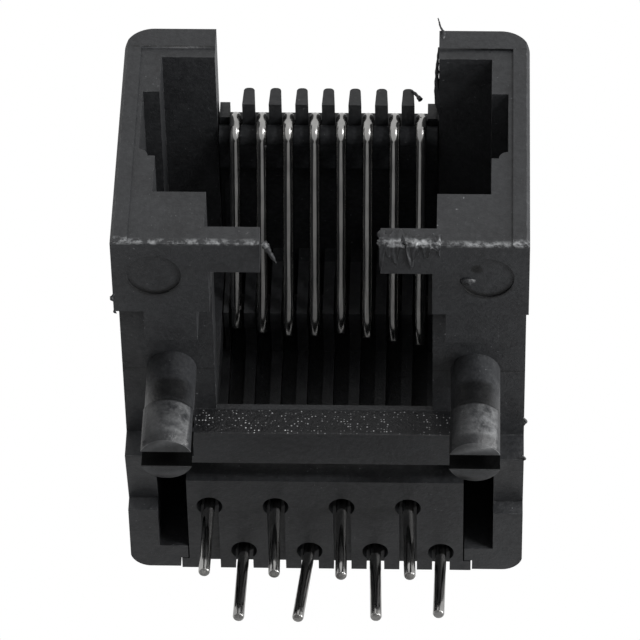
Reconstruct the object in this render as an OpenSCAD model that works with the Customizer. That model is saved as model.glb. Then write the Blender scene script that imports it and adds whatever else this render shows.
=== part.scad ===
// Eight-way modular board jack, side entry, plastic housing without a shield.
// A two-piece moulding: the housing takes the plug, the contact carrier slides in
// from the rear and holds eight sprung wires in combs. Two split pegs locate the
// housing on the circuit board.
// Millimetres. +Z up from the board, -Y towards the plug, +X to the right seen
// from the plug side. The origin is on the board, midway between the two pegs.

/* [Housing shell] */
// width over the front flange
flange_w = 15.30; // [12:0.01:20]
// depth from front face to rear face
shell_d = 17.83; // [17.5:0.01:20]
// depth of the front flange
flange_d = 3.65; // [3:0.05:4]
// how far the side wall is set in behind the flange
body_step = 0.07; // [0.05:0.01:0.3]
// radius of the upper outer corners
top_corner_r = 1.10; // [0.5:0.05:2]
// radius of the rear upright corners
rear_corner_r = 0.80; // [0.3:0.05:1]
// how far the roof is set down behind the flange
roof_step = 0.03; // [0.02:0.01:0.05]
// chamfer on the flange's front upright edges
front_edge = 0.12; // [0.05:0.01:0.2]
// how far the rear corner rounding stands clear of the side wall's plane
corner_ease = 0.02; // [0.01:0.005:0.03]
// width of the raised rim at the sides of the front face
rim_side_w = 0.62; // [0.4:0.01:0.75]
// width of the raised rim at the top of the front face
rim_top_w = 0.98; // [0.6:0.01:1.2]
// how far the face sits behind the rim
face_sink = 0.10; // [0.05:0.01:0.2]

/* [Plug opening] */
// width of the opening for the plug body
plug_w = 12.46; // [12:0.01:12.8]
// height of the plug opening's roof above the board
plug_top_z = 9.95; // [9.8:0.01:11.2]
// height of the ledge the plug body rides on
ledge_z = 2.70; // [2.4:0.05:3]
// depth from the front face to the plug stop
plug_d = 10.20; // [9.9:0.05:10.4]
// width across the two side reliefs
relief_w = 13.70; // [13:0.05:13.8]
// lower edge of the side reliefs
relief_low_z = 4.60; // [4.2:0.05:5]
// upper edge of the side reliefs
relief_high_z = 8.05; // [7.5:0.05:8.5]
// radius at the lower shoulder of a side relief
relief_r = 0.35; // [0.2:0.05:0.6]
// depth of the side reliefs
relief_d = 8.60; // [7:0.1:9]
// width of the latch slot under the plug
latch_w = 8.50; // [8.3:0.05:8.8]
// gap between the two latch bars
bar_gap = 4.40; // [3.6:0.05:5]
// height of the latch bars
bar_h = 0.90; // [0.7:0.05:1.1]
// depth of the latch bars
bar_d = 1.55; // [1.3:0.05:1.9]
// width of the notch in the front of the roof
notch_w = 8.46; // [8.4:0.01:8.7]
// depth of the notch in the front of the roof
notch_d = 4.30; // [4.25:0.01:4.5]

/* [Underside] */
// width of the window in the floor
window_w = 8.20; // [8.15:0.01:8.3]
// height of the raised underside between the two feet
recess_z = 1.27; // [1:0.01:1.4]
// distance from the front face to the rear foot
rear_foot_y = 11.52; // [11:0.01:11.7]
// width of the gusset behind each side of the flange
gusset_w = 1.95; // [1.5:0.05:2.1]
// distance of a gusset's middle from the centre line
gusset_x = 5.575; // [5.5:0.005:5.6]
// length of a gusset
gusset_d = 1.50; // [1:0.05:1.8]
// thickness of the cross bar, front to back
cross_d = 1.67; // [1.4:0.01:1.8]
// height of the cross bar
cross_h = 1.50; // [1.3:0.05:1.8]
// width of the cross bar's foot
cross_w = 9.90; // [9.6:0.05:10]
// rise of the slope cut in each rear foot
ramp_rise = 0.63; // [0.3:0.01:0.8]
// length of the slope cut in each rear foot
ramp_d = 3.08; // [2.5:0.01:3.4]
// flat land in front of the slope
ramp_land = 0.06; // [0.04:0.01:0.2]
// radius of the round ejector marks
mark_r = 1.00; // [0.8:0.05:1.1]
// depth of the ejector marks
mark_sink = 0.06; // [0.03:0.01:0.1]
// distance of an ejector mark from the centre line
mark_x = 6.10; // [6:0.05:6.2]
// distance of an ejector mark from the front face
mark_y = 1.75; // [1.6:0.05:2]

/* [Board pegs] */
// spacing of the two pegs
peg_pitch = 11.43; // [11.3:0.01:11.5]
// distance of the pegs behind the front face
peg_setback = 8.00; // [7.6:0.05:8.2]
// radius of a peg's neck
peg_neck_r = 0.93; // [0.85:0.01:0.98]
// radius of a peg's split end
peg_end_r = 1.02; // [1:0.01:1.1]
// radius of the raised pads on a peg's split end
peg_pad_r = 1.13; // [1.11:0.01:1.2]
// width of a raised pad
peg_pad_w = 1.70; // [1.4:0.05:1.8]
// length of a peg below the board
peg_len = 3.40; // [3:0.05:3.8]
// depth below the board where the split end starts
peg_step_z = 1.15; // [0.9:0.05:1.4]
// width of the slit
peg_slit_w = 0.80; // [0.6:0.05:0.9]
// height of the cone from the neck to the split end
peg_cone_h = 0.12; // [0.05:0.01:0.2]
// distance from a pad's end to the end of the peg
pad_inset = 0.08; // [0.05:0.01:0.2]
// length of the slope at each end of a pad
pad_slope = 0.12; // [0.05:0.01:0.2]
// how deep the slope is rooted in the peg
pad_root = 0.03; // [0.02:0.01:0.05]
// how much wider than the slit its round root is, on the radius
slit_ease = 0.03; // [0.02:0.01:0.05]
// depth below the board of the slit's root
peg_slit_z = 1.10; // [0.9:0.05:1.3]

/* [Rear chamber] */
// distance between the side walls of the chamber
chamber_w = 12.90; // [12.7:0.05:13]
// thickness of the rear returns, front to back
return_d = 1.18; // [1:0.01:1.4]
// how far behind the plug stop the arm's space widens
shelf_back = 0.30; // [0.2:0.05:0.4]
// thickness of the roof over the carrier
roof_t = 0.40; // [0.35:0.01:0.45]
// width of a guide groove beside the arm
guide_w = 0.40; // [0.3:0.01:0.5]
// height of a guide groove
guide_h = 0.55; // [0.4:0.01:0.6]
// height of a guide groove's floor above the plug roof
guide_rise = 0.25; // [0.2:0.01:0.4]
// how far behind the roof notch the arm's guides start
guide_back = 0.30; // [0.2:0.05:0.5]
// width of the rebate in each rear return that the leg's edge seats in
lap_w = 0.30; // [0.2:0.05:0.4]
// depth of that rebate
lap_d = 0.50; // [0.4:0.05:0.6]

/* [Contact carrier] */
// clearance between carrier and housing
carrier_clear = 0.05; // [0.03:0.01:0.06]
// clearance under the roof
roof_clear = 0.04; // [0.02:0.01:0.06]
// width of the carrier's leg
leg_w = 10.60; // [10.4:0.01:10.7]
// distance from the front face to the leg's front
leg_front_y = 12.90; // [12.8:0.01:13]
// how far the leg stands past the housing's rear face
leg_proud = 0.07; // [0:0.01:0.1]
// thickness of the arm
arm_t = 1.00; // [0.95:0.01:1.1]
// distance from the front face to the arm's end blocks
arm_front_y = 3.70; // [3.68:0.01:3.8]
// how far the end blocks rise above the arm
block_rise = 0.36; // [0.2:0.01:0.4]
// distance from the front face to the comb fingers
finger_y = 3.02; // [3:0.01:3.2]
// how far the finger tips rise above the arm
finger_rise = 0.45; // [0.35:0.01:0.46]
// thickness of a finger at its tip
finger_tip_w = 0.42; // [0.38:0.01:0.44]
// thickness of a finger at its foot
finger_w = 0.50; // [0.46:0.01:0.52]
// rounding of a finger's tip
finger_r = 0.17; // [0.1:0.01:0.2]
// how far a finger's overhanging underside lies below the arm's top
finger_drop = 0.48; // [0.45:0.01:0.55]
// length of the thick nose under the arm
nose_d = 1.30; // [1.1:0.05:1.5]
// thickness of the rear comb's teeth
tooth_w = 0.42; // [0.38:0.01:0.46]
// distance from the front face to the teeth
tooth_y = 10.25; // [10.22:0.01:10.4]
// depth of the teeth's hanging part
tooth_d = 0.81; // [0.7:0.01:1]
// how far the teeth hang below the arm
tooth_drop = 3.57; // [3.4:0.01:4]
// how far the web behind the teeth hangs below the arm
web_drop = 3.05; // [2.8:0.05:3.3]
// lower edge of the slots in the leg's front
slot_low_z = 1.60; // [1.4:0.05:2]
// depth of the slots in the leg's front
slot_d = 0.80; // [0.6:0.01:0.85]
// radius of the relief hole round each pin
relief_hole_r = 0.50; // [0.45:0.01:0.52]
// depth of the relief hole round each pin
relief_hole_d = 1.10; // [0.8:0.05:1.4]
// width of the groove from each pin to the rear edge
vent_w = 0.68; // [0.6:0.01:0.72]
// depth of that groove
vent_d = 0.43; // [0.3:0.01:0.5]
// how far a retaining barb stands out
barb_t = 0.60; // [0.4:0.05:0.8]
// height of a barb
barb_h = 2.20; // [1.8:0.1:2.6]
// length of a barb
barb_d = 1.40; // [1:0.05:1.6]
// how far a barb's lower edge lies below the arm
barb_drop = 3.75; // [3.4:0.05:4]
// width of a barb's blunt tip
barb_tip = 0.35; // [0.3:0.05:0.5]
// how deep a barb is rooted in the leg
barb_root = 0.10; // [0.05:0.05:0.2]

/* [Contacts] */
// number of contacts
contact_n = 8; // [8:1:8]
// wire radius
wire_r = 0.22; // [0.2:0.005:0.23]
// clearance between a wire and the grooves and bores round it
wire_clear = 0.02; // [0.01:0.005:0.03]
// extra clearance on the inside of a bend
bend_ease = 0.03; // [0.02:0.005:0.04]
// how much wider than the grooves the bores are, on the radius
bore_ease = 0.01; // [0.005:0.005:0.015]
// length over which a groove widens towards a bend of the spread
flare_d = 0.30; // [0.2:0.05:0.5]
// spacing of the wires at the plug
mouth_pitch = 1.016; // [1.01:0.001:1.03]
// spacing of neighbouring pins across the board
board_pitch = 1.27; // [1.25:0.01:1.27]
// distance of the front pin row behind the pegs
row_a_y = 6.35; // [6.3:0.01:6.4]
// distance between the two pin rows
row_step = 2.54; // [2.5:0.01:2.58]
// radius of the bends, to the wire's middle
bend_r = 0.70; // [0.68:0.01:0.72]
// how much thinner the wire is in a bend, on the radius
bend_neck = 0.004; // [0.002:0.001:0.01]
// how far a straight length laps into a bend
bend_lap = 0.02; // [0.01:0.005:0.025]
// distance from the front face to the middle of the nose bend
bend_y = 4.24; // [4.2:0.01:4.28]
// distance from the front face to the wires' free ends
free_end_y = 11.00; // [10.8:0.05:11.1]
// slope of a sprung wire at rest, contact by contact, in degrees
spring_tilt = [23.4, 25.0, 25.9, 25.9, 24.9, 26.4, 27.6, 28.8];
// sideways lean of a pin below the board, contact by contact, in degrees
pin_lean = [-1.0, -1.5, 1.0, -6.0, 1.0, 1.6, 2.1, -1.0];
// radius of the lean's bend at the board
lean_r = 18.00; // [12:0.5:20]
// length of a pin below the board, contact by contact
pin_len = [3.42, 3.46, 3.46, 3.47, 3.53, 3.38, 3.50, 3.20];
// distance from the front face to where the wires start to spread
spread_from_y = 10.00; // [9.8:0.05:10.1]
// radius of the bends where the wires spread
spread_r = 1.50; // [1:0.1:2]
// distance from the front face to where the wires finish spreading
spread_to_y = 13.30; // [13.1:0.05:13.4]

/* [Hidden] */
$fn = 64;
eps = 0.5;
front_y = -peg_setback;
rear_y = front_y + shell_d;
body_w = flange_w - 2 * body_step;
stop_y = front_y + plug_d;
cross_y = stop_y;
chamber_y = cross_y + cross_d;
wide_y = stop_y + shelf_back;
return_y = rear_y - return_d;
carrier_top_z = plug_top_z + arm_t;
ceiling_z = carrier_top_z + roof_clear;
body_h = ceiling_z + roof_t;
shell_h = body_h + roof_step;
carrier_w = leg_w + 2 * carrier_clear;
lap_y = rear_y - lap_d;
shelf_w = window_w;
arm_w = notch_w - 2 * carrier_clear;
comb_w = shelf_w - 2 * carrier_clear;
leg_y = front_y + leg_front_y;
leg_rear_y = rear_y + leg_proud;
run_z = carrier_top_z - wire_r - wire_clear;
groove_w = 2 * (wire_r + wire_clear);
nose_r = bend_r - wire_r - wire_clear - bend_ease;
bore_r = groove_w / 2 + bore_ease;
groove_z = run_z - groove_w / 2;
bend_z = run_z - bend_r;
arm_z = plug_top_z;
guide_z = plug_top_z + guide_rise;
guide_y = front_y + notch_d + guide_back;
finger_low_z = carrier_top_z - finger_drop;
finger_top_z = carrier_top_z + finger_rise;
row_b_y = row_a_y + row_step;
housing_colour = [0.045, 0.046, 0.050];
carrier_colour = [0.040, 0.041, 0.044];
wire_colour = [0.78, 0.78, 0.80];

function mouth_x(i) = (i - (contact_n - 1) / 2) * mouth_pitch;
function board_x(i) = (i - (contact_n - 1) / 2) * board_pitch;
function row_y(i) = i % 2 == 0 ? row_a_y : row_b_y;

// mirrors its children left to right for side = -1
module mirror_to(side) {
    if (side < 0) {
        mirror([1, 0, 0])
            children();
    } else {
        children();
    }
}

// a block given by its two opposite corners
module block(a, b) {
    translate(a)
        cube(b - a);
}

// extrudes a front view (across, up) from one depth to another
module along_y(from, to) {
    translate([0, to, 0])
        rotate([90, 0, 0])
            linear_extrude(height = to - from)
                children();
}

// extrudes a side view (depth, up) from one side position to another
module along_x(from, to) {
    translate([from, 0, 0])
        rotate([90, 0, 90])
            linear_extrude(height = to - from)
                children();
}

// front view of the shell: square below, rounded upper corners
module shell_view(w, h, r) {
    translate([-w / 2, 0])
        square([w, h - r]);
    translate([-w / 2 + r, 0])
        square([w - 2 * r, h]);
    for (s = [-1, 1])
        translate([s * (w / 2 - r), h - r])
            circle(r = r);
}

// plan of the body with its two rounded rear corners
module body_plan() {
    w = body_w + 2 * corner_ease;
    r = rear_corner_r;
    y0 = front_y + flange_d - 2 * eps;
    translate([-w / 2, y0])
        square([w, rear_y - r - y0]);
    translate([-w / 2 + r, y0])
        square([w - 2 * r, rear_y - y0]);
    for (s = [-1, 1])
        translate([s * (w / 2 - r), rear_y - r])
            circle(r = r);
}

// the flange, with its two front upright edges broken
module flange() {
    x = flange_w / 2;
    difference() {
        along_y(front_y, front_y + flange_d)
            shell_view(flange_w, shell_h, top_corner_r);
        for (s = [0, 1])
            mirror([s, 0, 0])
                translate([0, 0, -eps])
                    linear_extrude(height = shell_h + 2 * eps)
                        polygon([[x - front_edge, front_y], [x, front_y + front_edge],
                                 [x + eps, front_y - eps]]);
    }
}

module body_block() {
    intersection() {
        along_y(front_y + flange_d - eps, rear_y + eps)
            shell_view(body_w, body_h, top_corner_r - body_step);
        translate([0, 0, -eps])
            linear_extrude(height = shell_h + 2 * eps)
                body_plan();
    }
}

// the face inside the rim is set back a little, down to the sole
module face_recess() {
    inner_w = flange_w - 2 * rim_side_w;
    block([-inner_w / 2, front_y - eps, -eps],
          [inner_w / 2, front_y + face_sink, shell_h - rim_top_w]);
}

// front view of a side relief with a rounded lower shoulder
module relief_view() {
    difference() {
        translate([-relief_w / 2, relief_low_z])
            square([relief_w, relief_high_z - relief_low_z]);
        for (s = [-1, 1])
            translate([s * relief_w / 2, relief_low_z])
                circle(r = relief_r);
    }
}

module plug_cavity() {
    block([-plug_w / 2, front_y - eps, ledge_z],
          [plug_w / 2, stop_y, plug_top_z]);
    along_y(front_y - eps, front_y + relief_d)
        relief_view();
    block([-latch_w / 2, front_y - eps, bar_h],
          [latch_w / 2, front_y + flange_d, ledge_z + eps]);
    block([-bar_gap / 2, front_y - eps, -eps],
          [bar_gap / 2, front_y + flange_d, bar_h + eps]);
    block([-window_w / 2, front_y + bar_d, -eps],
          [window_w / 2, stop_y, ledge_z + eps]);
}

// notch in the roof, and the space under the roof for the carrier's arm
module arm_space() {
    block([-notch_w / 2, front_y - eps, plug_top_z - eps],
          [notch_w / 2, front_y + notch_d, shell_h + eps]);
    block([-notch_w / 2, front_y + notch_d - eps, plug_top_z - eps],
          [notch_w / 2, stop_y + eps, ceiling_z]);
    block([-notch_w / 2 - guide_w, front_y + notch_d, guide_z],
          [notch_w / 2 + guide_w, stop_y + eps, guide_z + guide_h]);
    block([-carrier_w / 2, wide_y, plug_top_z],
          [carrier_w / 2, rear_y + eps, ceiling_z]);
}

// space behind the plug stop: an opening between the posts, the chamber with its
// side pockets, and the way out to the rear with a rebate in each return
module rear_space() {
    block([-shelf_w / 2, stop_y - eps, cross_h],
          [shelf_w / 2, chamber_y + eps, plug_top_z + eps]);
    block([-chamber_w / 2, chamber_y, -eps],
          [chamber_w / 2, return_y, plug_top_z]);
    block([-carrier_w / 2, chamber_y, -eps],
          [carrier_w / 2, rear_y + eps, ceiling_z]);
    block([-carrier_w / 2 - lap_w, lap_y, -eps],
          [carrier_w / 2 + lap_w, rear_y + eps, ceiling_z]);
}

// the raised underside between the front and rear feet
module underside_recess() {
    difference() {
        block([-flange_w / 2, front_y + flange_d, -eps],
              [flange_w / 2, front_y + rear_foot_y, recess_z]);
        for (s = [-1, 1])
            block([s * gusset_x - gusset_w / 2, front_y + flange_d - eps, -eps],
                  [s * gusset_x + gusset_w / 2, front_y + flange_d + gusset_d, recess_z]);
        block([-cross_w / 2, cross_y, -eps],
              [cross_w / 2, chamber_y, recess_z]);
    }
}

// the slope cut in the sole of each rear foot
module foot_ramp() {
    y0 = front_y + rear_foot_y + ramp_land;
    y1 = front_y + rear_foot_y + ramp_d;
    slope = ramp_rise / (y1 - y0);
    for (s = [0, 1])
        mirror([s, 0, 0])
            along_x(chamber_w / 2, flange_w / 2)
                polygon([[y0 - eps, -eps * slope], [y0 - eps, -eps], [y1, -eps], [y1, ramp_rise]]);
}

module ejector_marks() {
    for (s = [-1, 1])
        translate([s * mark_x, front_y + mark_y, -eps])
            cylinder(r = mark_r, h = eps + mark_sink);
}

// one split peg: neck, thicker split end, and a raised pad front and back
module peg() {
    pad_z0 = -peg_len + pad_inset;
    pad_h = peg_len - peg_step_z - peg_cone_h - 2 * pad_inset;
    cut = peg_pad_r + eps;
    difference() {
        union() {
            translate([0, 0, -peg_step_z])
                cylinder(r = peg_neck_r, h = peg_step_z + recess_z + face_sink);
            translate([0, 0, -peg_step_z - peg_cone_h])
                cylinder(r1 = peg_end_r, r2 = peg_neck_r, h = peg_cone_h);
            translate([0, 0, -peg_len])
                cylinder(r = peg_end_r, h = peg_len - peg_step_z - peg_cone_h);
            intersection() {
                union() {
                    translate([0, 0, pad_z0 + pad_slope])
                        cylinder(r = peg_pad_r, h = pad_h - 2 * pad_slope);
                    translate([0, 0, pad_z0])
                        cylinder(r1 = peg_end_r - pad_root, r2 = peg_pad_r, h = pad_slope);
                    translate([0, 0, pad_z0 + pad_h - pad_slope])
                        cylinder(r1 = peg_pad_r, r2 = peg_end_r - pad_root, h = pad_slope);
                }
                translate([-peg_pad_w / 2, -peg_pad_r - eps, -peg_len])
                    cube([peg_pad_w, 2 * (peg_pad_r + eps), peg_len]);
            }
        }
        translate([-cut, -peg_slit_w / 2, -peg_len - eps])
            cube([2 * cut, peg_slit_w, peg_len + eps - peg_slit_z - peg_slit_w / 2]);
        translate([-cut, 0, -peg_slit_z - peg_slit_w / 2])
            rotate([0, 90, 0])
                cylinder(r = peg_slit_w / 2 + slit_ease, h = 2 * cut);
    }
}

module housing() {
    color(housing_colour)
        union() {
            difference() {
                union() {
                    flange();
                    body_block();
                }
                face_recess();
                plug_cavity();
                arm_space();
                rear_space();
                underside_recess();
                foot_ramp();
                ejector_marks();
            }
            for (s = [-1, 1])
                translate([s * peg_pitch / 2, 0, 0])
                    peg();
        }
}

// front view of one comb finger: tapered, with a rounded tip
module finger_view() {
    foot = finger_w / 2;
    tip = finger_tip_w / 2;
    round_z = finger_top_z - finger_r;
    polygon([[-foot, finger_low_z], [foot, finger_low_z], [tip, round_z], [-tip, round_z]]);
    translate([-tip + finger_r, finger_low_z])
        square([2 * (tip - finger_r), finger_top_z - finger_low_z]);
    for (s = [-1, 1])
        translate([s * (tip - finger_r), round_z])
            circle(r = finger_r);
}

module front_comb() {
    for (i = [0 : contact_n - 2])
        translate([mouth_x(i) + mouth_pitch / 2, 0, 0])
            along_y(front_y + finger_y, front_y + notch_d - carrier_clear)
                finger_view();
    block_w = arm_w / 2 - mouth_x(contact_n - 1) - groove_w / 2;
    for (s = [0, 1])
        mirror([s, 0, 0])
            block([arm_w / 2 - block_w, front_y + arm_front_y, finger_low_z],
                  [arm_w / 2, front_y + notch_d - carrier_clear, carrier_top_z + block_rise]);
}

// the arm under the roof: a rounded nose the wires bend round, side guides, and a
// wider rear part
module arm() {
    y0 = front_y + bend_y;
    translate([-arm_w / 2, y0, bend_z])
        rotate([0, 90, 0])
            cylinder(r = nose_r, h = arm_w);
    block([-arm_w / 2, y0, bend_z - nose_r + bend_ease], [arm_w / 2, y0 + nose_d, bend_z]);
    block([-comb_w / 2, y0, arm_z], [comb_w / 2, wide_y + eps, carrier_top_z]);
    block([-arm_w / 2, y0, arm_z + carrier_clear], [arm_w / 2, wide_y + eps, carrier_top_z]);
    block([-arm_w / 2 - guide_w, guide_y, guide_z + carrier_clear],
          [arm_w / 2 + guide_w, wide_y + eps, guide_z + guide_h - carrier_clear]);
    block([-leg_w / 2, wide_y + carrier_clear, arm_z + carrier_clear],
          [leg_w / 2, leg_y + eps, carrier_top_z]);
}

// teeth that keep the wires' free ends apart, with a web behind each
module rear_comb() {
    y0 = front_y + tooth_y;
    for (i = [-1 : contact_n - 1]) {
        xm = mouth_x(i) + mouth_pitch / 2;
        x0 = max(xm - tooth_w / 2, -comb_w / 2);
        x1 = min(xm + tooth_w / 2, comb_w / 2);
        block([x0, y0, arm_z - tooth_drop], [x1, y0 + tooth_d, arm_z + eps]);
        block([x0, y0 + tooth_d / 2, arm_z - web_drop], [x1, leg_y + eps, arm_z + eps]);
    }
}

// slots in the leg's front, one under each wire's free end
module leg_slots() {
    slot_w = mouth_pitch - tooth_w;
    for (i = [0 : contact_n - 1])
        block([mouth_x(i) - slot_w / 2, leg_y - eps, slot_low_z],
              [mouth_x(i) + slot_w / 2, leg_y + slot_d, arm_z]);
}

// plan of the groove for one wire: straight, spreading to board pitch, straight,
// a little wider where the wire bends
module groove_plan(i) {
    xm = mouth_x(i);
    xb = board_x(i);
    y0 = front_y + finger_y - eps;
    ya = front_y + spread_from_y;
    yb = front_y + spread_to_y;
    y1 = row_y(i) - bend_r + bend_ease;
    h = groove_w / 2;
    w = h / cos(atan2(xb - xm, yb - ya)) + bore_ease;
    polygon([[xm - h, y0], [xm + h, y0], [xm + h, ya - flare_d], [xm + w, ya],
             [xb + w, yb], [xb + h, yb + flare_d], [xb + h, y1], [xb - h, y1],
             [xb - h, yb + flare_d], [xb - w, yb], [xm - w, ya], [xm - h, ya - flare_d]]);
}

// groove along the arm for one wire, then the rounded drop into the pin's bore
module wire_groove(i) {
    xb = board_x(i);
    yc = row_y(i) - bend_r;
    translate([0, 0, groove_z])
        linear_extrude(height = shell_h - groove_z)
            groove_plan(i);
    along_x(xb - groove_w / 2, xb + groove_w / 2)
        difference() {
            translate([yc, bend_z])
                square([bend_r + groove_w / 2, shell_h - bend_z]);
            translate([yc, bend_z])
                circle(r = nose_r);
        }
    translate([xb, row_y(i), -eps])
        cylinder(r = bore_r, h = bend_z + eps + bend_ease);
    translate([xb, row_y(i), -eps])
        cylinder(r = relief_hole_r, h = relief_hole_d + eps);
    block([xb - vent_w / 2, row_y(i), -eps], [xb + vent_w / 2, leg_rear_y + eps, vent_d]);
}

// side barb that snaps in front of the housing's rear return
module leg_barb() {
    y1 = return_y - carrier_clear;
    out = barb_root + barb_t;
    translate([leg_w / 2 - barb_root, 0, arm_z - barb_drop])
        linear_extrude(height = barb_h)
            polygon([[0, y1 - barb_d], [0, y1], [out, y1], [out, y1 - barb_tip]]);
}

module contact_carrier() {
    color(carrier_colour)
        difference() {
            union() {
                arm();
                rear_comb();
                block([-leg_w / 2, leg_y, 0], [leg_w / 2, leg_rear_y, carrier_top_z]);
                block([-leg_w / 2 - lap_w, lap_y + carrier_clear, 0],
                      [leg_w / 2 + lap_w, leg_rear_y, carrier_top_z]);
                for (s = [0, 1])
                    mirror([s, 0, 0])
                        leg_barb();
                front_comb();
            }
            leg_slots();
            for (i = [0 : contact_n - 1])
                wire_groove(i);
        }
}

// straight length of wire between two points, lapping a little into the bends
module wire_run(a, b) {
    d = b - a;
    len = norm(d);
    translate(a)
        rotate([0, acos(d[2] / len), atan2(d[1], d[0])])
            translate([0, 0, -bend_lap])
                cylinder(r = wire_r, h = len + 2 * bend_lap);
}

// wire bend about the Z axis, from one angle through a sweep
module wire_arc(r, start, sweep) {
    rotate([0, 0, start])
        rotate_extrude(angle = sweep)
            translate([r, 0])
                circle(r = wire_r - bend_neck);
}

// wire bend in a plane square to X; angles run from +Y towards +Z
module wire_bend(x, y, z, start, sweep) {
    translate([x, y, z])
        rotate([90, 0, 90])
            wire_arc(bend_r, start, sweep);
}

// the spreading part of a wire, seen from above: two soft bends with a straight
// between them, from (xm, ya) to (xb, yb), drawn for a wire on the +X side
module wire_spread(xm, ya, xb, yb) {
    turn = atan2(xb - xm, yb - ya);
    cut = spread_r * tan(turn / 2);
    dx = cut * sin(turn);
    dy = cut * cos(turn);
    translate([xm + spread_r, ya - cut, run_z])
        wire_arc(spread_r, 180 - turn, turn);
    wire_run([xm + dx, ya + dy, run_z], [xb - dx, yb - dy, run_z]);
    translate([xb - spread_r, yb + cut, run_z])
        wire_arc(spread_r, -turn, turn);
}

// a pin from the rear bend down past the board, leaning towards +X below it
module wire_pin(xb, y, lean, len) {
    cut = lean_r * tan(lean / 2);
    wire_run([xb, y, bend_z], [xb, y, cut]);
    if (lean > 0) {
        translate([xb + lean_r, y, cut])
            rotate([90, 0, 0])
                wire_arc(lean_r, 180, lean);
    }
    wire_run([xb + cut * sin(lean), y, -cut * cos(lean)],
             [xb + len * tan(lean), y, -len]);
}

module contact(i) {
    side = i < contact_n / 2 ? -1 : 1;
    lean_side = pin_lean[i] < 0 ? -1 : 1;
    xm = mouth_x(i);
    xb = board_x(i);
    tilt = spring_tilt[i];
    yb = front_y + bend_y;
    yr = row_y(i) - bend_r;
    ya = front_y + spread_from_y;
    yc = front_y + spread_to_y;
    turn = atan2(abs(xb - xm), yc - ya);
    cut = spread_r * tan(turn / 2);
    ys = yb - bend_r * sin(tilt);
    zs = bend_z - bend_r * cos(tilt);
    ye = front_y + free_end_y;
    color(wire_colour)
        union() {
            wire_run([xm, ys, zs], [xm, ye, zs - (ye - ys) * tan(tilt)]);
            wire_bend(xm, yb, bend_z, 90, 180 - tilt);
            wire_run([xm, yb, run_z], [xm, ya - cut, run_z]);
            mirror_to(side)
                wire_spread(abs(xm), ya, abs(xb), yc);
            wire_run([xb, yc + cut, run_z], [xb, yr, run_z]);
            wire_bend(xb, yr, bend_z, 0, 90);
            mirror_to(lean_side)
                wire_pin(lean_side * xb, row_y(i), abs(pin_lean[i]), pin_len[i]);
        }
}

module contact_1() {
    contact(0);
}

module contact_2() {
    contact(1);
}

module contact_3() {
    contact(2);
}

module contact_4() {
    contact(3);
}

module contact_5() {
    contact(4);
}

module contact_6() {
    contact(5);
}

module contact_7() {
    contact(6);
}

module contact_8() {
    contact(7);
}

housing();
contact_carrier();
contact_1();
contact_2();
contact_3();
contact_4();
contact_5();
contact_6();
contact_7();
contact_8();
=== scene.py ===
"""Looks of an eight-way board jack: black mouldings, plated wires, burrs and studio."""

import math

import bmesh
import bpy
import numpy as np
from mathutils import Matrix, Vector


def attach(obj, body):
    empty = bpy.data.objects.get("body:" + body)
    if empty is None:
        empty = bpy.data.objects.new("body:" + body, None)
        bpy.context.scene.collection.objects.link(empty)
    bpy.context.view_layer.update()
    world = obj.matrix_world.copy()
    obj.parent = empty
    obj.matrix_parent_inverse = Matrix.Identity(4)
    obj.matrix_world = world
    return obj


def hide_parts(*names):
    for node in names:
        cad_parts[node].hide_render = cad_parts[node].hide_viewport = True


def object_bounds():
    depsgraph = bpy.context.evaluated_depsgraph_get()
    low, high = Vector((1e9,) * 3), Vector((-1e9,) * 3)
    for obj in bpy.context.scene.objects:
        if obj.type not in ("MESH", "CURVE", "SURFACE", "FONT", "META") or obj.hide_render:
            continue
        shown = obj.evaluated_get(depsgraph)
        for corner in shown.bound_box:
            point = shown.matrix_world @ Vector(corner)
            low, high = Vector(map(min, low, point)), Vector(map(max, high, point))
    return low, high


MM = 0.001

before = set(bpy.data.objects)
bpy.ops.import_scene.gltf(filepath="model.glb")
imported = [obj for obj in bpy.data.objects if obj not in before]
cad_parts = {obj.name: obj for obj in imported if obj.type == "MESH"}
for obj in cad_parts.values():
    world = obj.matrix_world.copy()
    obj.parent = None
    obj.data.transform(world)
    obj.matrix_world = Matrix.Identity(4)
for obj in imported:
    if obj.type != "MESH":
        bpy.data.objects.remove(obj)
cad_low, cad_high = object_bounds()

# Named places, in millimetres, in the part's own frame
PEG_SETBACK = 8.0
FRONT = -PEG_SETBACK
STOP_Y = 2.2
CROSS_HALF = 4.95
PEG_X = 5.715
PARTING_Z = 1.27
CRACK_Z = 10.44
MARKS = ((-6.1, -6.25), (6.1, -6.25))
MARK_R = 0.95
# Place of a small pit that is painted dark as its shade
PIT = (5.73, -6.65, 0.03)

# Soft bands on the pegs as (centre, half, soft): pads, necks, slits, pad tops and ends
PAD_Z = (-2.18, 0.72, 0.16)
NECK_Z = (-0.62, 0.40, 0.22)
SLIT_Y = (0.0, 0.41, 0.02)
SLIT_Z = (-2.45, 1.36, 0.05)
PAD_TOP_Z = (-1.24, 0.05, 0.07)
PEG_END_Z = (-3.41, 0.04, 0.02)

# Colours
DUST = (0.30, 0.31, 0.32)
# Pale rub: wear on the bevelled edges, and painted light there, on the peg pads and on the peg
# ends
RUB_AND_PAINTED_LIGHT = (0.30, 0.305, 0.31)
SCRAPE = (0.42, 0.43, 0.44)
# Painted glints on the cross bar's textured face
PAINTED_GLINT = (0.80, 0.81, 0.82)
# Painted shade on the cross bar's textured face
PAINTED_BAR_SHADE = (0.004, 0.004, 0.005)
# Painted shade in narrow steps: the parting line and the crack line across the front
PAINTED_STEP_SHADE = (0.002, 0.002, 0.002)
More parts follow.
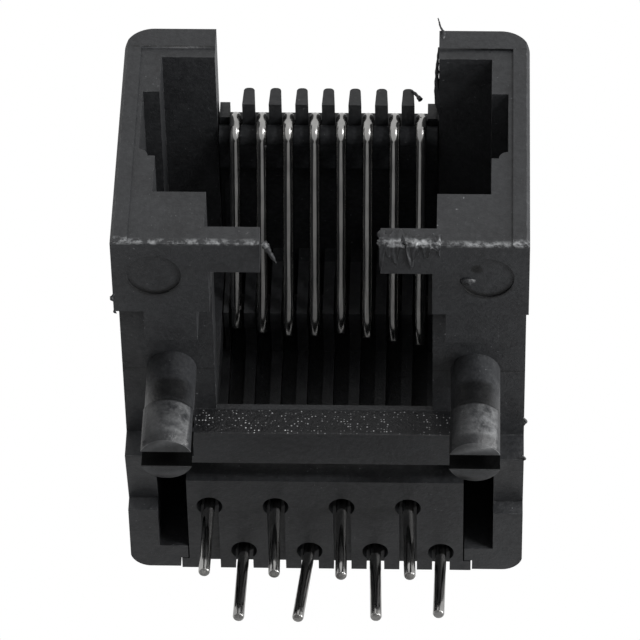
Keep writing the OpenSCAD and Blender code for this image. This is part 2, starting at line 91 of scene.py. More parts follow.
# Painted shade in hollows: peg necks, slits, pad tops, ejector-mark crescents and a pit
PAINTED_HOLLOW_SHADE = (0.001, 0.001, 0.001)
HOUSING_TONES = ((0.012, 0.0125, 0.014), (0.018, 0.019, 0.021))
CARRIER_TONES = ((0.010, 0.0105, 0.012), (0.014, 0.0148, 0.016))
PLATE_TONES = ((0.42, 0.415, 0.41), (0.56, 0.555, 0.54))


# ---------------------------------------------------------------- node helpers

def new_material(name):
    """Empty node material with its Principled shader and output."""
    mat = bpy.data.materials.new(name)
    mat.use_nodes = True
    tree = mat.node_tree
    shader = tree.nodes["Principled BSDF"]
    return mat, tree, shader


def add_node(tree, kind, **values):
    """Node of one kind; values set its properties or its named inputs."""
    node = tree.nodes.new(kind)
    for key, value in values.items():
        if hasattr(node, key):
            setattr(node, key, value)
        else:
            node.inputs[key.replace("_", " ")].default_value = value
    return node


def link(tree, source, target):
    tree.links.new(source, target)


def math_node(tree, operation, a, b=None, clamp=False):
    """Math node fed by sockets or numbers; returns its output."""
    node = add_node(tree, "ShaderNodeMath", operation=operation, use_clamp=clamp)
    for index, value in enumerate((a, b)):
        if value is None:
            continue
        if isinstance(value, (int, float)):
            node.inputs[index].default_value = value
        else:
            link(tree, value, node.inputs[index])
    return node.outputs[0]


def object_coords(tree):
    """Object coordinates, and their X, Y and Z parts, in metres."""
    coords = add_node(tree, "ShaderNodeTexCoord").outputs["Object"]
    parts = add_node(tree, "ShaderNodeSeparateXYZ")
    link(tree, coords, parts.inputs[0])
    return coords, parts.outputs


def noise(tree, coords, scale, detail=3.0, rough=0.55):
    """Noise value at a scale given in cycles per millimetre."""
    node = add_node(tree, "ShaderNodeTexNoise")
    node.inputs["Scale"].default_value = scale / MM
    node.inputs["Detail"].default_value = detail
    node.inputs["Roughness"].default_value = rough
    link(tree, coords, node.inputs["Vector"])
    return node.outputs["Fac"]


def ramp(tree, value, low, high, to_low=0.0, to_high=1.0):
    """Value mapped from low..high to to_low..to_high, held at the ends."""
    node = add_node(tree, "ShaderNodeMapRange")
    node.clamp = True
    for key, number in (("From Min", low), ("From Max", high),
                        ("To Min", to_low), ("To Max", to_high)):
        node.inputs[key].default_value = number
    link(tree, value, node.inputs["Value"])
    return node.outputs[0]


def mix_colour(tree, factor, a, b):
    """Colour between a and b; each is a socket or an RGB tuple."""
    node = add_node(tree, "ShaderNodeMix", data_type="RGBA")
    link(tree, factor, node.inputs["Factor"])
    for socket, value in ((node.inputs[6], a), (node.inputs[7], b)):
        if isinstance(value, tuple):
            socket.default_value = (*value, 1.0)
        else:
            link(tree, value, socket)
    return node.outputs[2]


def band(tree, value, centre, half, soft):
    """1 within half of centre, falling to 0 over soft; all in millimetres."""
    away = math_node(tree, "ABSOLUTE", math_node(tree, "SUBTRACT", value, centre * MM))
    return ramp(tree, away, half * MM, (half + soft) * MM, 1.0, 0.0)


def product(tree, *values):
    """Product of several sockets or numbers."""
    result = values[0]
    for value in values[1:]:
        result = math_node(tree, "MULTIPLY", result, value)
    return result


def zone(tree, axis, x=None, y=None, z=None):
    """1 inside a soft box; each side is (centre, half, soft) in millimetres or None."""
    sides = [band(tree, axis[key], *side) for key, side in zip("XYZ", (x, y, z)) if side]
    return product(tree, *sides)


def distance_to(tree, coords, place):
    """Distance, in metres, from a place given in millimetres."""
    node = add_node(tree, "ShaderNodeVectorMath", operation="DISTANCE")
    link(tree, coords, node.inputs[0])
    node.inputs[1].default_value = [v * MM for v in place]
    return node.outputs["Value"]


# ---------------------------------------------------------------- materials

def scuffed_and_highlit_edges(tree, coords, colour, amount):
    """Pale broken rubs on every bevelled edge (a face attribute set on the bevel strips): part
    wear, part painted highlight along the edges.
    """
    edge = add_node(tree, "ShaderNodeAttribute", attribute_name="edge_wear_and_highlight").outputs["Fac"]
    rub_and_light_patches = ramp(tree, noise(tree, coords, 2.4, 5.0, 0.72), 0.47, 0.63)
    return mix_colour(tree, product(tree, edge, rub_and_light_patches, amount), colour, RUB_AND_PAINTED_LIGHT)


def housing_scuffs_and_painted_light(tree, coords, axis, colour):
    """White rub along the sole's front edge; painted shade and painted glints on the cross bar;
    painted shade along the parting and crack lines, in the ejector marks and in a pit.
    """
    sole = zone(tree, axis, y=(FRONT, 0.08, 0.12), z=(0.02, 0.10, 0.20))
    breaks = ramp(tree, noise(tree, coords, 3.2, 4.0, 0.7), 0.44, 0.62)
    colour = mix_colour(tree, product(tree, sole, breaks, 0.6), colour, SCRAPE)
    bar_face = zone(tree, axis, x=(0.0, CROSS_HALF - 0.25, 0.3), y=(STOP_Y, 0.02, 0.02),
                    z=(0.60, 0.52, 0.14))
    glint_dots = add_node(tree, "ShaderNodeTexVoronoi", Scale=8.0 / MM, Randomness=0.45)
    link(tree, coords, glint_dots.inputs["Vector"])
    glint_dots = ramp(tree, glint_dots.outputs["Distance"], 0.20, 0.34, 1.0, 0.0)
    thick = ramp(tree, noise(tree, coords, 0.9, 4.0, 0.75), 0.40, 0.62)
    painted_glints = product(tree, glint_dots, thick)
    # Painted shade over the cross bar's face, then painted glints from its rough grain
    colour = mix_colour(tree, product(tree, bar_face, 0.85), colour, PAINTED_BAR_SHADE)
    colour = mix_colour(tree, product(tree, painted_glints, bar_face, 0.9), colour, PAINTED_GLINT)
    # Painted shade along the parting step and along the crack line across the front
    parting = zone(tree, axis, y=(0.0, 0.0, 0.06), z=(PARTING_Z, 0.01, 0.02))
    colour = mix_colour(tree, product(tree, parting, 0.8), colour, PAINTED_STEP_SHADE)
    crack = zone(tree, axis, y=(FRONT, 0.02, 0.03), z=(CRACK_Z, 0.02, 0.05))
    rough_crack = ramp(tree, noise(tree, coords, 1.8, 4.0, 0.7), 0.44, 0.54)
    colour = mix_colour(tree, product(tree, crack, rough_crack, 0.8), colour, PAINTED_STEP_SHADE)
    # Painted shade: a dark crescent on the far side of each ejector mark's shallow recess, and a
    # dark pit
    for x, y in MARKS:
        away = distance_to(tree, coords, (x, y, 0.0))
        ring = math_node(tree, "ABSOLUTE", math_node(tree, "SUBTRACT", away, MARK_R * MM))
        ring = ramp(tree, ring, 0.04 * MM, 0.16 * MM, 1.0, 0.0)
        shade = ramp(tree, axis["Y"], (y + 0.1) * MM, (y + 0.7) * MM)
        low = band(tree, axis["Z"], 0.0, 0.12, 0.05)
        colour = mix_colour(tree, product(tree, ring, shade, low, 0.9), colour, PAINTED_HOLLOW_SHADE)
    pit = ramp(tree, distance_to(tree, coords, PIT), 0.15 * MM, 0.26 * MM, 1.0, 0.0)
    colour = mix_colour(tree, product(tree, pit, 0.95), colour, PAINTED_HOLLOW_SHADE)
    return colour, bar_face


def peg_painted_light(tree, coords, axis, colour):
    """Split pegs: painted highlight on the pads, lighter towards +x and patchy; painted light on
    the lower ends; painted shade on the necks, in the slits and in a line over each pad.
    """
    rub_and_light_patches = ramp(tree, noise(tree, coords, 2.6, 5.0, 0.75), 0.36, 0.66)
    for side in (-1.0, 1.0):
        x = side * PEG_X
        # Painted highlight on the pad, stronger on the right peg and lighter towards +x
        pad_highlight = 0.30 if side < 0 else 0.42
        pad = zone(tree, axis, x=(x + 0.12, 0.62, 0.16), y=(-1.1, 0.36, 0.05), z=PAD_Z)
        lit_side = ramp(tree, axis["X"], (x - 0.5) * MM, (x + 0.7) * MM, 0.35, 1.0)
        colour = mix_colour(tree, product(tree, pad, rub_and_light_patches, lit_side, pad_highlight), colour, RUB_AND_PAINTED_LIGHT)
        # Painted shade on the neck, in the slit and in a line over the pad
        neck = zone(tree, axis, x=(x, 0.50, 0.35), y=(-0.8, 0.6, 0.1), z=NECK_Z)
        slit = zone(tree, axis, x=(x, 1.10, 0.10), y=SLIT_Y, z=SLIT_Z)
        over = zone(tree, axis, x=(x, 0.72, 0.10), y=(-1.0, 0.4, 0.1), z=PAD_TOP_Z)
        shade = math_node(tree, "MAXIMUM", product(tree, neck, 0.75), product(tree, slit, 0.95))
        shade = math_node(tree, "MAXIMUM", shade, product(tree, over, 0.85))
        colour = mix_colour(tree, shade, colour, PAINTED_HOLLOW_SHADE)
        # Painted light on the peg's lower end, which the lamps leave dark
        end = zone(tree, axis, x=(x, 1.10, 0.10), y=(0.0, 1.2, 0.1), z=PEG_END_Z)
        colour = mix_colour(tree, product(tree, end, 0.16), colour, RUB_AND_PAINTED_LIGHT)
    return colour


def moulded_plastic(name, tones, rough, scuffs_and_painted_light):
    """Black filled nylon: mottled colour, fine grain, pale specks, scuffed edges with painted
    edge highlights.

    When its last argument is true it also has the housing's scuffs, and painted shade and
    painted light on the housing and its pegs. Its gloss is lowered, as painted shade, in the
    peg slits or under the carrier's arm.
    """
    mat, tree, shader = new_material(name)
    coords, axis = object_coords(tree)
    cloud = noise(tree, coords, 0.55, 4.0)
    grain = noise(tree, coords, 9.0, 3.0, 0.6)
    mottle = noise(tree, coords, 2.6, 3.0)
    colour = mix_colour(tree, ramp(tree, cloud, 0.35, 0.65), *tones)
    dust = ramp(tree, noise(tree, coords, 5.0, 4.0, 0.75), 0.40, 0.75)
    colour = mix_colour(tree, product(tree, dust, 0.05), colour, DUST)
    specks = ramp(tree, noise(tree, coords, 6.0, 2.0, 0.7), 0.70, 0.78)
    colour = mix_colour(tree, product(tree, specks, 0.35), colour, DUST)
    height = math_node(tree, "ADD", grain, product(tree, mottle, 1.5))
    if scuffs_and_painted_light:
        colour, bar_face = housing_scuffs_and_painted_light(tree, coords, axis, colour)
        colour = peg_painted_light(tree, coords, axis, colour)
        coarse = noise(tree, coords, 4.5, 3.0, 0.8)
        height = math_node(tree, "ADD", height, product(tree, coarse, bar_face, 3.0))
    colour = scuffed_and_highlit_edges(tree, coords, colour, 0.55 if scuffs_and_painted_light else 0.4)
    link(tree, colour, shader.inputs["Base Color"])
    link(tree, ramp(tree, mottle, 0.3, 0.7, rough - 0.07, rough + 0.09),
         shader.inputs["Roughness"])
    # Painted shade: less sheen in the peg slits and under the carrier's arm, to darken them
    if scuffs_and_painted_light:
        shade_dulling = zone(tree, axis, x=(0.0, 7.0, 0.1), y=SLIT_Y, z=SLIT_Z)
    else:
        shade_dulling = zone(tree, axis, x=(0.0, 4.2, 0.1), y=(-0.9, 3.9, 0.4), z=(9.80, 0.55, 0.08))
    link(tree, math_node(tree, "SUBTRACT", 0.5, product(tree, shade_dulling, 0.42)),
         shader.inputs["Specular IOR Level"])
    bump = add_node(tree, "ShaderNodeBump")
    bump.inputs["Strength"].default_value = 0.5
    bump.inputs["Distance"].default_value = 0.03 * MM
    link(tree, height, bump.inputs["Height"])
    link(tree, bump.outputs[0], shader.inputs["Normal"])
    return mat


def plated_wire(name):
    """Bright tin plate with drawing lines along the wire (UV: around, along in mm)."""
    mat, tree, shader = new_material(name)
    coords, _ = object_coords(tree)
    uv = add_node(tree, "ShaderNodeUVMap", uv_map="wire").outputs[0]
    stretch = add_node(tree, "ShaderNodeMapping")
    stretch.inputs["Scale"].default_value = (26.0, 0.7, 1.0)
    link(tree, uv, stretch.inputs["Vector"])
    lines = add_node(tree, "ShaderNodeTexNoise")
    lines.inputs["Scale"].default_value = 1.0
    lines.inputs["Detail"].default_value = 3.0
    link(tree, stretch.outputs[0], lines.inputs["Vector"])
    stain = noise(tree, coords, 1.3, 3.0)
    colour = mix_colour(tree, ramp(tree, stain, 0.35, 0.7), *PLATE_TONES)
    link(tree, colour, shader.inputs["Base Color"])
    shader.inputs["Metallic"].default_value = 1.0
    link(tree, ramp(tree, lines.outputs["Fac"], 0.3, 0.7, 0.10, 0.20),
         shader.inputs["Roughness"])
    bump = add_node(tree, "ShaderNodeBump")
    bump.inputs["Strength"].default_value = 0.25
    bump.inputs["Distance"].default_value = 0.004 * MM
    link(tree, lines.outputs["Fac"], bump.inputs["Height"])
    link(tree, bump.outputs[0], shader.inputs["Normal"])
    return mat


HOUSING_BLACK = moulded_plastic("housing_black", HOUSING_TONES, 0.46, True)
CARRIER_BLACK = moulded_plastic("carrier_black", CARRIER_TONES, 0.44, False)
WIRE_PLATE = plated_wire("wire_plate")


# ---------------------------------------------------------------- mouldings

WELD = 0.0005
FLAT_DEG = 0.8
EDGE_DEG = 35.0
SMOOTH_DEG = 28.0
HOUSING_BEVEL = 0.05
CARRIER_BEVEL = 0.03


def edge_strips(work, edges, width):
    """Bevels the edges and marks the new narrow faces with 1 in the face attribute for edge wear
    and painted edge highlight.
    """
    wear_and_highlight = work.faces.layers.float.new("edge_wear_and_highlight")
    result = bmesh.ops.bevel(work, geom=edges, offset=width, offset_type="OFFSET",
                             segments=2, profile=0.6, affect="EDGES", clamp_overlap=True)
    for face in result["faces"]:
        face[wear_and_highlight] = 1.0


def takes_bevel(edge, width):
    """True for a sharp edge that is long, between faces wide enough for the bevel."""
    if len(edge.link_faces) != 2 or edge.calc_face_angle(0.0) <= math.radians(EDGE_DEG):
        return False
    length = edge.calc_length()
    if length <= 4.0 * width:
        return False
    return min(f.calc_area() / max(length, 1e-6) for f in edge.link_faces) > 2.2 * width


def finished_copy(node, name, width, material):
    """Merged copy of a CAD solid whose long sharp edges are broken by a small bevel."""
    mesh = bpy.data.meshes.new(name)
    work = bmesh.new()
    work.from_mesh(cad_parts[node].data)
    work.transform(Matrix.Scale(1.0 / MM, 4))
    bmesh.ops.remove_doubles(work, verts=work.verts, dist=WELD)
    bmesh.ops.dissolve_limit(work, angle_limit=math.radians(FLAT_DEG),
                             verts=work.verts, edges=work.edges)
    edge_strips(work, [e for e in work.edges if takes_bevel(e, width)], width)
    work.transform(Matrix.Scale(MM, 4))
    work.to_mesh(mesh)
    work.free()
    mesh.shade_smooth()
    mesh.set_sharp_from_angle(angle=math.radians(SMOOTH_DEG))
    piece = new_piece(name, mesh, material)
    weighted = piece.modifiers.new("weighted", "WEIGHTED_NORMAL")
    weighted.mode = "FACE_AREA"
    weighted.weight = 100
    weighted.keep_sharp = True
    return piece


def new_piece(name, mesh, material):
    """Object made of one mesh, riding on the body; its materials start afresh."""
    piece = bpy.data.objects.new(name, mesh)
    bpy.context.scene.collection.objects.link(piece)
    mesh.materials.clear()
    mesh.materials.append(material)
    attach(piece, "root")
    return piece


housing = finished_copy("housing", "housing_shell", HOUSING_BEVEL, HOUSING_BLACK)
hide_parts("housing")
carrier = finished_copy("contact_carrier", "carrier_block", CARRIER_BEVEL, CARRIER_BLACK)
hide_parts("contact_carrier")

# ---------------------------------------------------------------- surfaces

def grid_faces(rows, cols, closed):
    """Quads of a rows x cols grid of points; closed joins its last column to its first."""
    i, j = np.meshgrid(np.arange(rows - 1), np.arange(cols if closed else cols - 1),
                       indexing="ij")
    n = (j + 1) % cols
    corners = [i * cols + j, i * cols + n, (i + 1) * cols + n, (i + 1) * cols + j]
    return np.stack(corners, axis=-1).reshape(-1, 4)


def fan_faces(pole, ring, forward):
    """Triangles from a pole to a closed ring of points; forward follows the ring."""
    after = np.roll(ring, -1)
    pair = (ring, after) if forward else (after, ring)
    return np.stack([np.full(len(ring), pole), *pair], axis=-1)


def surface_mesh(name, verts, faces, sharp_deg=None):
    """Smooth mesh from points in millimetres, with creases past sharp_deg if given."""
    mesh = bpy.data.meshes.new(name)
    mesh.from_pydata((verts * MM).tolist(), [], faces)
    mesh.validate()
    mesh.shade_smooth()
    if sharp_deg is not None:
        mesh.set_sharp_from_angle(angle=math.radians(sharp_deg))
    return mesh


# ---------------------------------------------------------------- wires

COUNT = 8
PLUG_PITCH = 1.016
BOARD_PITCH = 1.27
WIRE_R = 0.22
CUT_LEN = 0.08
CUT_SHARE = 0.72
BEND_R = 0.70
RUN_Z = 10.71
BEND_Z = RUN_Z - BEND_R
BEND_Y = FRONT + 4.24
FREE_Y = FRONT + 11.0
SPREAD_FROM = FRONT + 10.0
SPREAD_TO = FRONT + 13.3
SPREAD_R = 1.5
LEAN_R = 18.0
ROWS = (6.35, 8.89)
SPRING_TILT = (23.4, 25.0, 25.9, 25.9, 24.9, 26.4, 27.6, 28.8)
PIN_LEAN = (-1.0, -1.5, 1.0, -6.0, 1.0, 1.6, 2.1, -1.0)
PIN_LEN = (3.42, 3.46, 3.46, 3.47, 3.53, 3.38, 3.50, 3.20)
AROUND = 20
TUBE_SHARP_DEG = 50.0


def arc(centre, radius, from_deg, to_deg, across, up, step=6.0):
    """Points centre + radius * (cos(a) * across + sin(a) * up) between two angles."""
    count = max(3, int(abs(to_deg - from_deg) / step) + 1)
    a = np.radians(np.linspace(from_deg, to_deg, count))[:, None]
    turned = np.cos(a) * np.array(across) + np.sin(a) * np.array(up)
    return np.array(centre) + radius * turned


def wire_path(i):
    """Middle line of wire i: free end, nose bend, run, spread, rear bend, leaning pin."""
    xm = (i - (COUNT - 1) / 2) * PLUG_PITCH
    xb = (i - (COUNT - 1) / 2) * BOARD_PITCH
    tilt = math.radians(SPRING_TILT[i])
    lean = math.radians(PIN_LEAN[i])
    row = ROWS[i % 2]
    start_y = BEND_Y - BEND_R * math.sin(tilt)
    start_z = BEND_Z - BEND_R * math.cos(tilt)
    y_axis, z_axis = (0, 1, 0), (0, 0, 1)
    slope = np.linspace(0.0, 1.0, 12)[:, None]
    free = np.array((xm, FREE_Y, start_z - (FREE_Y - start_y) * math.tan(tilt)))
    parts = [free + slope * (np.array((xm, start_y, start_z)) - free)]
    parts.append(arc((xm, BEND_Y, BEND_Z), BEND_R, 270.0 - SPRING_TILT[i], 90.0,
                     y_axis, z_axis))
    turn = math.atan2(xb - xm, SPREAD_TO - SPREAD_FROM)
    side = 1.0 if turn > 0 else -1.0
    cut = SPREAD_R * math.tan(abs(turn) / 2)
    deg = math.degrees(abs(turn))
    outward = (side, 0, 0)
    parts.append(arc((xm + side * SPREAD_R, SPREAD_FROM - cut, RUN_Z), SPREAD_R,
                     180.0, 180.0 - deg, outward, y_axis, 4.0))
    parts.append(arc((xb - side * SPREAD_R, SPREAD_TO + cut, RUN_Z), SPREAD_R,
                     -deg, 0.0, outward, y_axis, 4.0))
    parts.append(arc((xb, row - BEND_R, BEND_Z), BEND_R, 90.0, 0.0, y_axis, z_axis))
    away = (math.copysign(1.0, lean), 0, 0)
    drop = LEAN_R * math.tan(abs(lean) / 2)
    parts.append(arc((xb + away[0] * LEAN_R, row, drop), LEAN_R, 180.0,
                     180.0 + math.degrees(abs(lean)), away, z_axis, 1.0))
    tip = np.array((xb + PIN_LEN[i] * math.tan(lean), row, -PIN_LEN[i]))
    last = parts[-1][-1]
    parts.append(last + np.linspace(0.2, 1.0, 5)[:, None] * (tip - last))
    points = np.concatenate(parts)
    keep = np.r_[True, np.linalg.norm(np.diff(points, axis=0), axis=1) > 1e-4]
    return points[keep]


def carried_normals(tangent):
    """A unit normal at each tangent, carried along the path without twist."""
    normal = np.cross(tangent[0], (1.0, 0.0, 0.0))
    if np.linalg.norm(normal) < 0.1:
        normal = np.cross(tangent[0], (0.0, 1.0, 0.0))
    normals = []
    for t in tangent:
        normal = normal - t * np.dot(normal, t)
        normal /= np.linalg.norm(normal)
        normals.append(normal)
    return np.array(normals)


def swept_tube(name, path, radii, material, around=AROUND):
    """Tube of varying radius along a path, closed at both ends.

    A ring at each point: p + r * (cos(t) * n + sin(t) * b), where n is carried along
    the path without twist and b is square to it. UV: turns around, millimetres along.
    """
    steps = np.diff(path, axis=0)
    length = np.linalg.norm(steps, axis=1)
    along = np.r_[0.0, np.cumsum(length)]
    way = steps / length[:, None]
    tangent = np.vstack([way[:1], way[:-1] + way[1:], way[-1:]])
    tangent /= np.linalg.norm(tangent, axis=1)[:, None]
    normal = carried_normals(tangent)
    side = np.cross(tangent, normal)
    angle = 2 * np.pi * np.arange(around)[None, :, None] / around
    turned = np.cos(angle) * normal[:, None] + np.sin(angle) * side[:, None]
    rings = path[:, None] + np.asarray(radii)[:, None, None] * turned
    verts = np.concatenate([rings.reshape(-1, 3), path[:1], path[-1:]])
    first = np.arange(around)
    last = first + (len(path) - 1) * around
    pole = len(path) * around
    faces = (grid_faces(len(path), around, True).tolist()
             + fan_faces(pole, first, False).tolist()
             + fan_faces(pole + 1, last, True).tolist())
    mesh = surface_mesh(name, verts, faces, TUBE_SHARP_DEG)
    turn = first / around
    after = (first + 1) / around
    middle = np.full(around, 0.5)
    around_uv = np.tile(np.stack([turn, after, after, turn], axis=-1), (len(path) - 1, 1))
    along_uv = np.repeat(np.stack([along[:-1], along[:-1], along[1:], along[1:]], axis=-1),
                         around, axis=0)
    start_uv = np.stack([middle, after, turn], axis=-1).ravel()
    end_uv = np.stack([middle, turn, after], axis=-1).ravel()
    u = np.concatenate([around_uv.ravel(), start_uv, end_uv])
    v = np.concatenate([along_uv.ravel(), np.full(3 * around, along[0]),
                        np.full(3 * around, along[-1])])
    layer = mesh.uv_layers.new(name="wire")
    layer.data.foreach_set("uv", np.stack([u, v], axis=-1).astype(np.float32).ravel())
    return new_piece(name, mesh, material)


def wire_radii(path):
    """Full radius, eased over the last CUT_LEN millimetres before each cut end."""
    along = np.r_[0.0, np.cumsum(np.linalg.norm(np.diff(path, axis=0), axis=1))]
    near_end = np.minimum(along, along[-1] - along)
    rise = np.sqrt(np.clip(near_end / CUT_LEN, 0.0, 1.0))
    return WIRE_R * (CUT_SHARE + (1.0 - CUT_SHARE) * rise)


def with_tips(path):
    """Adds three close points before each end, so that the cut tips can be rounded."""
    first, last = path[1] - path[0], path[-2] - path[-1]
    first /= np.linalg.norm(first)
    last /= np.linalg.norm(last)
    lead = np.array([0.0, 0.015, 0.04, CUT_LEN])[:, None]
    return np.concatenate([path[0] + lead * first, path[1:-1], (path[-1] + lead * last)[::-1]])


for index in range(COUNT):
    line = with_tips(wire_path(index))
    wire = swept_tube("wire_%d" % (index + 1), line, wire_radii(line), WIRE_PLATE)
    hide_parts("contact_%d" % (index + 1))


# ---------------------------------------------------------------- burrs

STRAND_SIDES = 8
STRAND_STEPS = 6
STRAND_ROUGH = 0.25
LUMP_GRID = (9, 14)
LUMP_ROUGH = 0.28


def curve_through(points, count):
    """Catmull-Rom curve through the points: the usual cubic between each pair."""
    p = np.array(points, dtype=float)
    p = np.vstack([2 * p[0] - p[1], p, 2 * p[-1] - p[-2]])
    out = []
    for k in range(1, len(p) - 2):
        t = np.linspace(0.0, 1.0, count, endpoint=False)[:, None]
        a, b, c, d = p[k - 1], p[k], p[k + 1], p[k + 2]
        out.append(0.5 * (2 * b + (c - a) * t + (2 * a - 5 * b + 4 * c - d) * t ** 2
                          + (3 * b - a - 3 * c + d) * t ** 3))
    return np.vstack(out + [p[-2:-1]])


def seeded_wander(seed, rough, shape):
    """Seeded factors between 1 - rough and 1 + rough."""
    return np.random.default_rng(seed).uniform(1.0 - rough, 1.0 + rough, shape)


def strand(name, points, radii, seed, material):
    """Ragged thread of flash: a tube along a curve whose radius wanders."""
    path = curve_through(points, STRAND_STEPS)
    base = np.interp(np.linspace(0, 1, len(path)), np.linspace(0, 1, len(radii)), radii)
    wander = seeded_wander(seed, STRAND_ROUGH, len(path))
    return swept_tube(name, path, base * wander, material, STRAND_SIDES)


def lump(name, centre, radii, seed, material):
    """Small ragged lump: an ellipsoid whose radius wanders, poles included.

    Point (i, j): centre + radii * w_ij * (cos(b) cos(a), cos(b) sin(a), sin(b)).
    """
    rows, cols = LUMP_GRID
    wander = seeded_wander(seed, LUMP_ROUGH, LUMP_GRID)
    wander[0] = wander[0].mean()
    wander[-1] = wander[-1].mean()
    b = np.linspace(-np.pi / 2, np.pi / 2, rows)[:, None]
    a = np.linspace(0.0, 2 * np.pi, cols, endpoint=False)[None, :]
    unit = np.stack([np.cos(b) * np.cos(a), np.cos(b) * np.sin(a),
                     np.sin(b) * np.ones_like(a)], axis=-1)
    grid = np.array(centre) + wander[..., None] * unit * np.array(radii)
    verts = np.vstack([grid[1:-1].reshape(-1, 3), grid[0, :1], grid[-1, :1]])
    ring = np.arange(cols)
    pole = (rows - 2) * cols
    faces = (grid_faces(rows - 2, cols, True).tolist()
             + fan_faces(pole, ring, False).tolist()
             + fan_faces(pole + 1, ring + (rows - 3) * cols, True).tolist())
    piece = new_piece(name, surface_mesh(name, verts, faces), material)


def eased(values, passes):
    """Values blended with their neighbours, then spread to twice that about their mean."""
    for _ in range(passes):
        for axis in (0, 1):
            if values.shape[axis] > 1:
                values = (values + 0.5 * np.roll(values, 1, axis)
                          + 0.5 * np.roll(values, -1, axis)) / 2.0
    return (values - values.mean()) * 2.0 + values.mean()


SKIN_GRID = (18, 64)
SKIN_LEAST = 0.01
SKIN_MOST = 0.09
SKIN_RIM = -0.03
SKIN_DEEP = 0.06
SKIN_SHIFT = 0.02
SKIN_SHARP_DEG = 40.0


def torn_skin(name, x_from, x_to, seed, material):
    """Rough torn skin wrapped round a front lower edge, from front face to underside.

    Row u in -1..1 follows the section (0, up) -> corner -> (back, 0), in y and z. Each
    point goes out from it by SKIN_LEAST + SKIN_MOST * r^2, with r a seeded and eased
    grid, and its rim by SKIN_RIM, so that it sinks into the surface. A plain copy
    SKIN_DEEP inside closes the piece.
    """
    rows, cols = SKIN_GRID
    rng = np.random.default_rng(seed)
    r = eased(rng.uniform(0.0, 1.0, (rows, cols)), 2)
    height = 0.50 + 0.30 * eased(rng.uniform(-1, 1, (1, cols)), 6)[0]
    depth = 0.60 + 0.80 * eased(rng.uniform(-1, 1, (1, cols)), 6)[0]
    push = SKIN_LEAST + SKIN_MOST * r ** 2
    push[0] = push[-1] = SKIN_RIM
    push[:, 0] = push[:, -1] = SKIN_RIM
    u = np.linspace(-1.0, 1.0, rows)[:, None]
    up = np.clip(-u, 0, 1) * height
    back = np.clip(u, 0, 1) * depth
    nose = -np.cos(u * np.pi / 2)
    out_y = np.where(u < 0, -1.0, nose)
    out_z = np.where(u > 0, -1.0, nose)
    norm = np.hypot(out_y, out_z)
    across = np.broadcast_to(np.linspace(x_from, x_to, cols), (rows, cols))
    outer = np.stack([across, FRONT + back + push * out_y / norm,
                      up + push * out_z / norm], axis=-1)
    inner = np.stack([across, FRONT + back - SKIN_DEEP * out_y / norm,
                      up - SKIN_DEEP * out_z / norm], axis=-1)
    outer[1:-1, 1:-1, 0] += SKIN_SHIFT * rng.uniform(-1, 1, (rows - 2, cols - 2))
    index = np.arange(rows * cols).reshape(rows, cols)
    rim = np.concatenate([index[0], index[1:, -1], index[-1, -2::-1], index[-2:0:-1, 0]])
    after = np.roll(rim, -1)
    inside = rows * cols
    quads = grid_faces(rows, cols, False)
    wall = np.stack([rim, after, inside + after, inside + rim], axis=-1)
    faces = np.concatenate([quads[:, [0, 3, 2, 1]], inside + quads, wall]).tolist()
    verts = np.vstack([outer.reshape(-1, 3), inner.reshape(-1, 3)])
    piece = new_piece(name, surface_mesh(name, verts, faces, SKIN_SHARP_DEG), material)


# Name, points, radii along the curve and seed of each strand
STRANDS = (
    ("whisker", [(4.36, -7.95, 11.0), (4.40, -8.02, 11.25), (4.27, -8.12, 11.5),
                 (4.22, -8.22, 11.66), (4.17, -8.30, 11.80)], (0.09, 0.07, 0.035, 0.03, 0.02), 3),
    ("notch_flash", [(4.22, -7.9, 10.6), (4.15, -7.0, 10.2), (4.17, -5.8, 9.95),
                     (4.25, -5.0, 9.9)], (0.03, 0.07, 0.11, 0.03), 4),
    ("finger_curl", [(3.17, -4.90, 11.2), (3.20, -5.02, 11.25), (3.42, -5.00, 10.95),
                     (3.52, -4.98, 10.80)], (0.05, 0.04, 0.07, 0.10), 5),
    ("bar_fin", [(-2.03, -7.93, 0.05), (-1.92, -7.72, 0.0), (-1.75, -7.30, 0.0),
                 (-1.60, -6.92, 0.03)], (0.14, 0.12, 0.08, 0.02), 6),
    ("left_burr", [(-7.58, -5.25, 0.03), (-7.70, -5.06, -0.02), (-7.60, -4.80, 0.03)],
     (0.03, 0.07, 0.02), 7),
    ("left_burr_low", [(-7.55, -4.45, 0.03), (-7.62, -4.33, 0.0), (-7.56, -4.2, 0.04)],
     (0.02, 0.06, 0.02), 8),
    ("right_burr", [(7.50, 1.2, 0.02), (7.62, 1.4, 0.0), (7.52, 1.7, 0.03)],
     (0.03, 0.06, 0.02), 9),
    ("right_burr_low", [(7.50, 3.3, 0.02), (7.62, 3.46, 0.0), (7.52, 3.6, 0.03)],
     (0.03, 0.05, 0.02), 10),
)
for name, points, radii, seed in STRANDS:
    strand(name, points, radii, seed, HOUSING_BLACK)

torn_skin("bar_tear", 2.15, 4.40, 21, HOUSING_BLACK)

# Name, centre, half sizes and seed of each lump
LUMPS = (
    ("bar_lump", (2.24, -7.96, 0.50), (0.16, 0.10, 0.20), 31),
    ("bar_lump_low", (2.20, -7.90, 0.16), (0.12, 0.10, 0.12), 32),
    ("bar_chip", (2.95, -7.88, 0.02), (0.20, 0.12, 0.07), 33),
    ("mark_debris", (5.40, -6.07, 0.02), (0.24, 0.17, 0.10), 34),
    ("shelf_speck", (-2.36, -4.5, 8.66), (0.05, 0.05, 0.04), 35),
)
for name, centre, radii, seed in LUMPS:
    lump(name, centre, radii, seed, HOUSING_BLACK)


# ---------------------------------------------------------------- studio

FLOOR_SIZE = 600.0
FLOOR_COLOUR = (0.86, 0.86, 0.86, 1.0)
SHOWN_LEVEL = 1.0
LIT_LEVEL = 0.66
SENSOR = 36.0


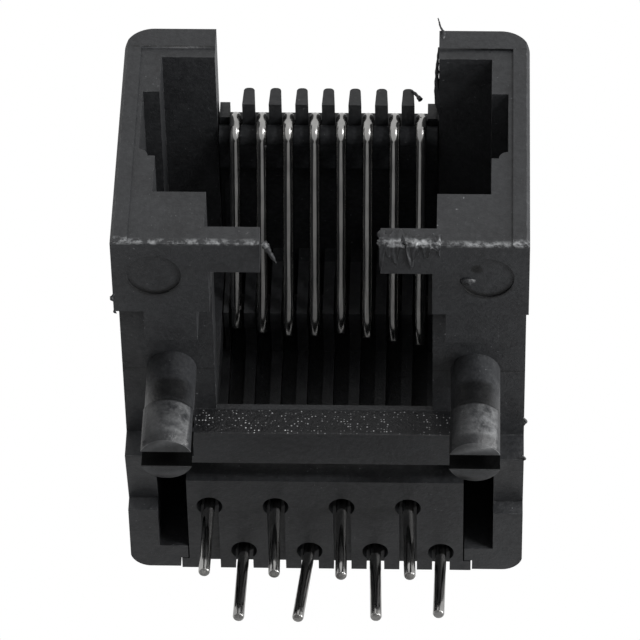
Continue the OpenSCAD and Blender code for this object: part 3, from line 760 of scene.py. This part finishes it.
def studio_floor(size, height):
    """Pale floor under the pins; it is clear to a camera that looks up through it."""
    mat, tree, shader = new_material("studio_floor")
    shader.inputs["Base Color"].default_value = FLOOR_COLOUR
    shader.inputs["Roughness"].default_value = 0.7
    path = add_node(tree, "ShaderNodeLightPath")
    side = add_node(tree, "ShaderNodeNewGeometry")
    clear = add_node(tree, "ShaderNodeBsdfTransparent")
    blend = add_node(tree, "ShaderNodeMixShader")
    link(tree, math_node(tree, "MULTIPLY", path.outputs["Is Camera Ray"],
                         side.outputs["Backfacing"]), blend.inputs[0])
    link(tree, shader.outputs[0], blend.inputs[1])
    link(tree, clear.outputs[0], blend.inputs[2])
    link(tree, blend.outputs[0], tree.nodes["Material Output"].inputs["Surface"])
    mesh = bpy.data.meshes.new("studio_floor")
    s = size / 2.0
    mesh.from_pydata([(-s, -s, height), (s, -s, height), (s, s, height), (-s, s, height)],
                     [], [(0, 1, 2, 3)])
    floor = bpy.data.objects.new("studio_floor", mesh)
    mesh.materials.append(mat)
    bpy.context.scene.collection.objects.link(floor)
    floor.visible_shadow = False


def softbox(name, place, target, size, watts):
    """Square area lamp at a place in millimetres, turned to its target."""
    lamp = bpy.data.lights.new(name, "AREA")
    lamp.shape = "SQUARE"
    lamp.size = size * MM
    lamp.energy = watts
    holder = bpy.data.objects.new(name, lamp)
    holder.location = Vector(place) * MM
    aim = Vector(target) * MM - holder.location
    holder.rotation_mode = "QUATERNION"
    holder.rotation_quaternion = aim.to_track_quat("-Z", "Y")
    bpy.context.scene.collection.objects.link(holder)


def pale_world(shown, lit):
    """World that shows white to the camera and lights at a plain level."""
    world = bpy.data.worlds.new("pale_world")
    bpy.context.scene.world = world
    world.use_nodes = True
    tree = world.node_tree
    path = add_node(tree, "ShaderNodeLightPath")
    seen = math_node(tree, "MAXIMUM", path.outputs["Is Camera Ray"],
                     path.outputs["Is Transmission Ray"])
    strength = add_node(tree, "ShaderNodeMapRange")
    strength.inputs["To Min"].default_value = lit
    strength.inputs["To Max"].default_value = shown
    link(tree, seen, strength.inputs["Value"])
    back = tree.nodes["Background"]
    back.inputs["Color"].default_value = (1.0, 1.0, 1.0, 1.0)
    link(tree, strength.outputs[0], back.inputs["Strength"])


def camera_at(aim, distance, azimuth, elevation, roll, lens):
    """Camera looking at aim (mm) from a bearing, turned about its own axis by roll."""
    a, e = math.radians(azimuth), math.radians(elevation)
    away = Vector((math.sin(a) * math.cos(e), -math.cos(a) * math.cos(e), math.sin(e)))
    cam = bpy.data.cameras.new("camera")
    cam.lens = lens
    cam.sensor_width = SENSOR
    cam.clip_start = 0.01
    cam.clip_end = 10.0
    holder = bpy.data.objects.new("camera", cam)
    holder.location = (Vector(aim) + away * distance) * MM
    holder.rotation_mode = "QUATERNION"
    level = (-away).to_track_quat("-Z", "Y")
    turn = Matrix.Rotation(math.radians(roll), 3, "Z").to_quaternion()
    holder.rotation_quaternion = level @ turn
    bpy.context.scene.collection.objects.link(holder)
    bpy.context.scene.camera = holder


studio_floor(FLOOR_SIZE * MM, cad_low.z)
pale_world(SHOWN_LEVEL, LIT_LEVEL)
softbox("key", place=(110, -150, -45), target=(0, -2, 3), size=40, watts=0.17)
softbox("side", place=(190, -40, -40), target=(0, 0, 4), size=120, watts=0.60)
camera_at(aim=(-0.126, -1.96, 1.96), distance=188.6, azimuth=2.393, elevation=-44.066,
          roll=2.204, lens=283.24)

bpy.context.scene.view_settings.view_transform = "Standard"
